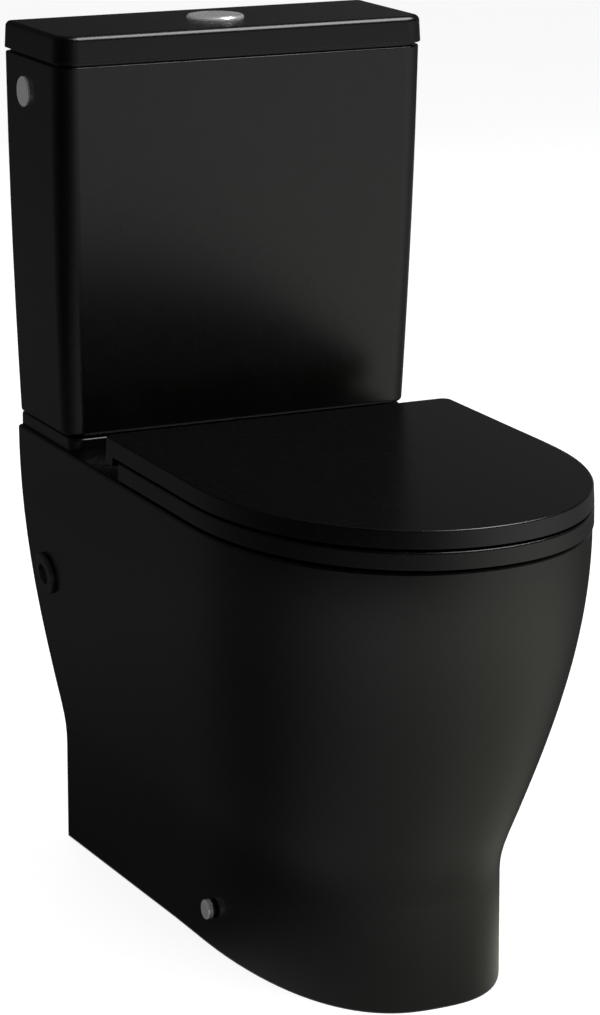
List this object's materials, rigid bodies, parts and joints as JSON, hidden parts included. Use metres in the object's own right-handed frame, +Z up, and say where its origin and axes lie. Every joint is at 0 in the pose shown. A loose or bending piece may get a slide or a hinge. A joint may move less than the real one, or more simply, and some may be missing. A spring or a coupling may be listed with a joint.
{
  "type": "floor-standing toilet",
  "caption": "Back-to-wall close-coupled toilet with a tulip-shaped pan, slim D-shaped seat and lid, and a box cistern with a dual-flush push button.",
  "frame": {"origin": "centre of the part's footprint on the floor, midway between the wall plane and the seat's front", "axes": "+Z up, -Y towards the user (front), +Y towards the wall, +X to the right as seen from the front"},
  "size_m": [0.3939, 0.6622, 0.8354],
  "materials": {
    "ceramic": "matt black glaze",
    "duroplast": "satin black duroplast",
    "chrome": "polished",
    "satin_chrome": "satin",
    "steel": "zinc plated",
    "rubber": "matt",
    "white_plastic": "moulded",
    "grey_plastic": "moulded",
    "black_plastic": "moulded"
  },
  "bodies": {
    "root": {"pan": "ceramic", "cistern_tank": "ceramic", "coupling_gasket": "rubber", "cistern_pads": "rubber", "coupling_bolts": "steel", "bolt_seals": "rubber", "coupling_washers": "steel", "coupling_nuts": "black_plastic", "valve_base": "white_plastic", "valve_backnut": "white_plastic", "valve_bridge": "grey_plastic", "lever_pins": "steel", "fill_valve_body": "white_plastic", "fill_downpipe": "white_plastic", "inlet_washer": "rubber", "inlet_nut": "black_plastic", "inlet_plug": "chrome", "plug_washer": "rubber", "plug_nut": "black_plastic", "hinge_posts": "chrome", "hinge_pins": "steel", "hinge_washers": "rubber", "seat_bolts": "steel", "seat_bolt_nuts": "white_plastic", "side_port_grommets": "rubber", "floor_brackets": "black_plastic", "side_screws": "steel", "screw_sleeves": "black_plastic", "screw_caps": "chrome"},
    "seat": {"seat_ring": "duroplast", "ring_dampers": "grey_plastic", "ring_buffers": "rubber"},
    "lid": {"seat_lid": "duroplast", "lid_dampers": "grey_plastic", "lid_buffers": "rubber"},
    "cover": {"cistern_lid": "ceramic", "button_ring": "satin_chrome", "button_nut": "black_plastic", "full_button_spring": "steel", "half_button_spring": "steel"},
    "full_button": {"full_flush_button": "satin_chrome", "full_push_rod": "grey_plastic"},
    "half_button": {"half_flush_button": "satin_chrome", "half_push_rod": "grey_plastic"},
    "flush_tube": {"overflow_tube": "white_plastic", "valve_seal": "rubber"},
    "full_lever": {"full_flush_lever": "grey_plastic"},
    "half_lever": {"half_flush_lever": "grey_plastic"},
    "float": {"fill_float": "white_plastic"},
    "float_lever": {"float_arm": "grey_plastic"}
  },
  "joints": [
    {"name": "seat_hinge", "type": "hinge", "parent": "root", "child": "seat", "pos_m": [0, 0.099, 0.45], "axis": [-1, 0, 0], "range_deg": [0, 97]},
    {"name": "lid_hinge", "type": "hinge", "parent": "seat", "child": "lid", "pos_m": [0, 0.099, 0.45], "axis": [1, 0, 0], "range_deg": [-97, 0]},
    {"name": "cistern_lid_lift", "type": "slide", "parent": "root", "child": "cover", "axis": [0, 0, 1], "range_m": [0, 0.12]},
    {"name": "full_flush_press", "type": "slide", "parent": "cover", "child": "full_button", "axis": [0, 0, -1], "range_m": [0, 0.006], "stiffness_N_per_m": 250, "springref_m": -0.012, "deforming": ["full_button_spring"]},
    {"name": "half_flush_press", "type": "slide", "parent": "cover", "child": "half_button", "axis": [0, 0, -1], "range_m": [0, 0.006], "stiffness_N_per_m": 250, "springref_m": -0.012, "deforming": ["half_button_spring"]},
    {"name": "flush_tube_lift", "type": "slide", "parent": "root", "child": "flush_tube", "axis": [0, 0, 1], "range_m": [0, 0.01]},
    {"name": "full_lever_turn", "type": "hinge", "parent": "root", "child": "full_lever", "pos_m": [-0.026, 0.247, 0.742], "axis": [0, 1, 0], "range_deg": [0, 25.4]},
    {"name": "half_lever_turn", "type": "hinge", "parent": "root", "child": "half_lever", "pos_m": [0.026, 0.265, 0.742], "axis": [0, -1, 0], "range_deg": [0, 25.4]},
    {"name": "float_sink", "type": "slide", "parent": "root", "child": "float", "axis": [0, 0, -1], "range_m": [0, 0.012]},
    {"name": "float_lever_turn", "type": "hinge", "parent": "root", "child": "float_lever", "pos_m": [0.164, 0.2736, 0.75], "axis": [0, -1, 0], "range_deg": [0, 14.2]}
  ],
  "couplings": [
    {"joint": "flush_tube_lift", "follows": "full_flush_press", "ratio": 1.66},
    {"joint": "full_lever_turn", "follows": "full_flush_press", "rad_per_m": 73.8},
    {"joint": "half_lever_turn", "follows": "half_flush_press", "rad_per_m": 73.8},
    {"joint": "float_lever_turn", "follows": "float_sink", "rad_per_m": 20.2}
  ]
}
